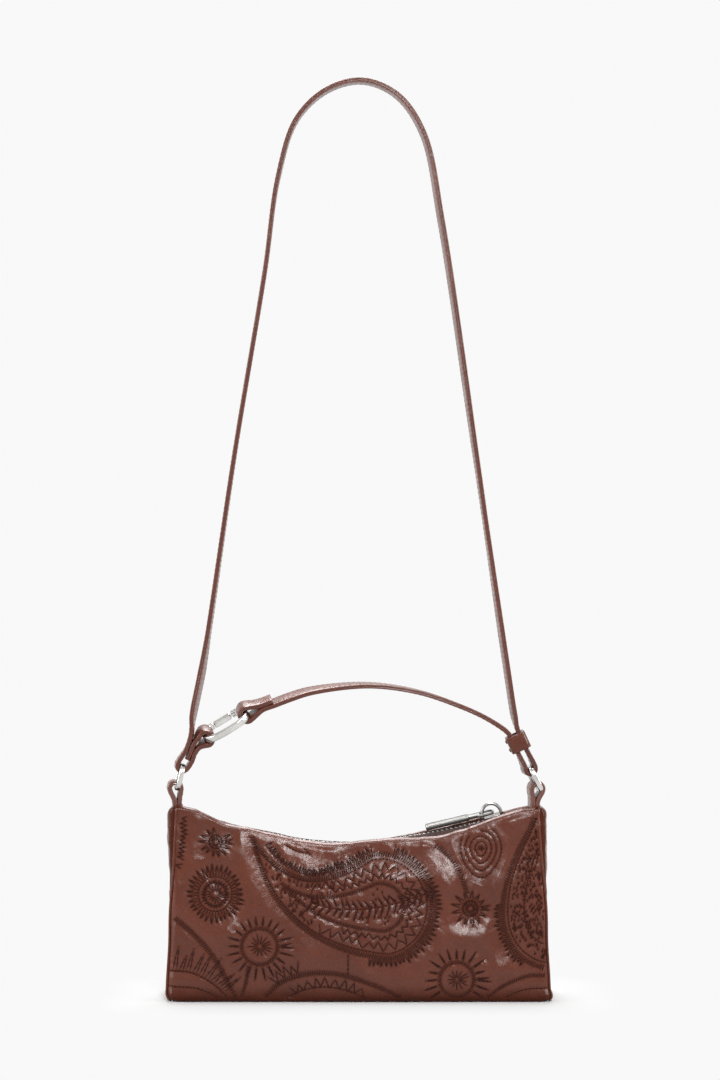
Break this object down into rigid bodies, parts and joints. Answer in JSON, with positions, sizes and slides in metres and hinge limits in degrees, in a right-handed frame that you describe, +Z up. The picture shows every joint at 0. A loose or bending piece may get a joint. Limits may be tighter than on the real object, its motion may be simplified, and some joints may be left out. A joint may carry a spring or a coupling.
{
  "type": "small zip-top leather shoulder bag",
  "caption": "Small embroidered leather zip-top bag with a short grab handle, a clip ring and a long shoulder strap that stands upright.",
  "frame": {"origin": "on the floor under the middle of the base", "axes": "+X to the bag's right as seen from the front, +Y to the back, +Z up along the strap"},
  "size_m": [0.25, 0.045, 0.6],
  "materials": {
    "leather": "waxed brown leather with tonal stitching, semi-gloss",
    "dark_leather": "dark brown leather, satin",
    "lining": "woven cotton lining",
    "zip_tape": "woven zip tape",
    "board": "grey board, matt",
    "zip_metal": "silver zip metal",
    "ring_metal": "polished silver-coloured metal"
  },
  "bodies": {
    "bag": {"back_panel": "leather", "left_gusset": "leather", "right_gusset": "leather", "base_panel": "leather", "base_stiffener": "board", "back_lining": "lining", "back_zip_tape": "zip_tape", "back_zip_teeth": "zip_metal", "back_top_stop": "zip_metal", "zip_bottom_stop": "zip_metal", "left_zip_end": "dark_leather", "right_zip_end": "dark_leather"},
    "front": {"front_panel": "leather", "front_lining": "lining", "front_zip_tape": "zip_tape", "front_zip_teeth": "zip_metal", "front_top_stop": "zip_metal"},
    "slider": {"zip_slider": "zip_metal"},
    "puller": {"zip_puller": "zip_metal"},
    "handle_group": {"left_tab": "leather", "right_tab": "leather", "left_ring": "ring_metal", "right_ring": "ring_metal", "connector_loop": "leather", "clip_ring": "ring_metal", "gate_pin": "ring_metal", "handle": "leather", "keeper": "leather", "keeper_stud_upper": "dark_leather", "keeper_stud_lower": "dark_leather"},
    "gate": {"clip_gate": "ring_metal"},
    "strap": {"long_strap": "leather"}
  },
  "joints": [
    {"name": "mouth_open", "type": "hinge", "parent": "bag", "child": "front", "pos_m": [0, -0.0225, 0], "axis": [1, 0, 0], "range_deg": [0, 12]},
    {"name": "slider_travel", "type": "hinge", "parent": "bag", "child": "slider", "pos_m": [0, 0, 0.42], "axis": [0, 1, 0], "range_deg": [0, 27.6]},
    {"name": "puller_flip", "type": "hinge", "parent": "slider", "child": "puller", "pos_m": [0.08619, 0, 0.12092], "axis": [0, 1, 0], "range_deg": [0, 115]},
    {"name": "handle_swing", "type": "hinge", "parent": "bag", "child": "handle_group", "pos_m": [0, 0, 0.129], "axis": [1, 0, 0], "range_deg": [-54, 54]},
    {"name": "strap_fold", "type": "hinge", "parent": "handle_group", "child": "strap", "pos_m": [-0.1086, 0, 0.1825], "axis": [0.9999, 0, -0.0152], "range_deg": [-85, 85]},
    {"name": "gate_open", "type": "hinge", "parent": "handle_group", "child": "gate", "pos_m": [-0.08241, 0.00846, 0.18367], "axis": [-0.4783, -0.342, 0.8088], "range_deg": [0, 25], "stiffness_Nm_per_rad": 0.02}
  ],
  "couplings": [
    {"joint": "slider_travel", "follows": "mouth_open", "ratio": 2.3}
  ]
}
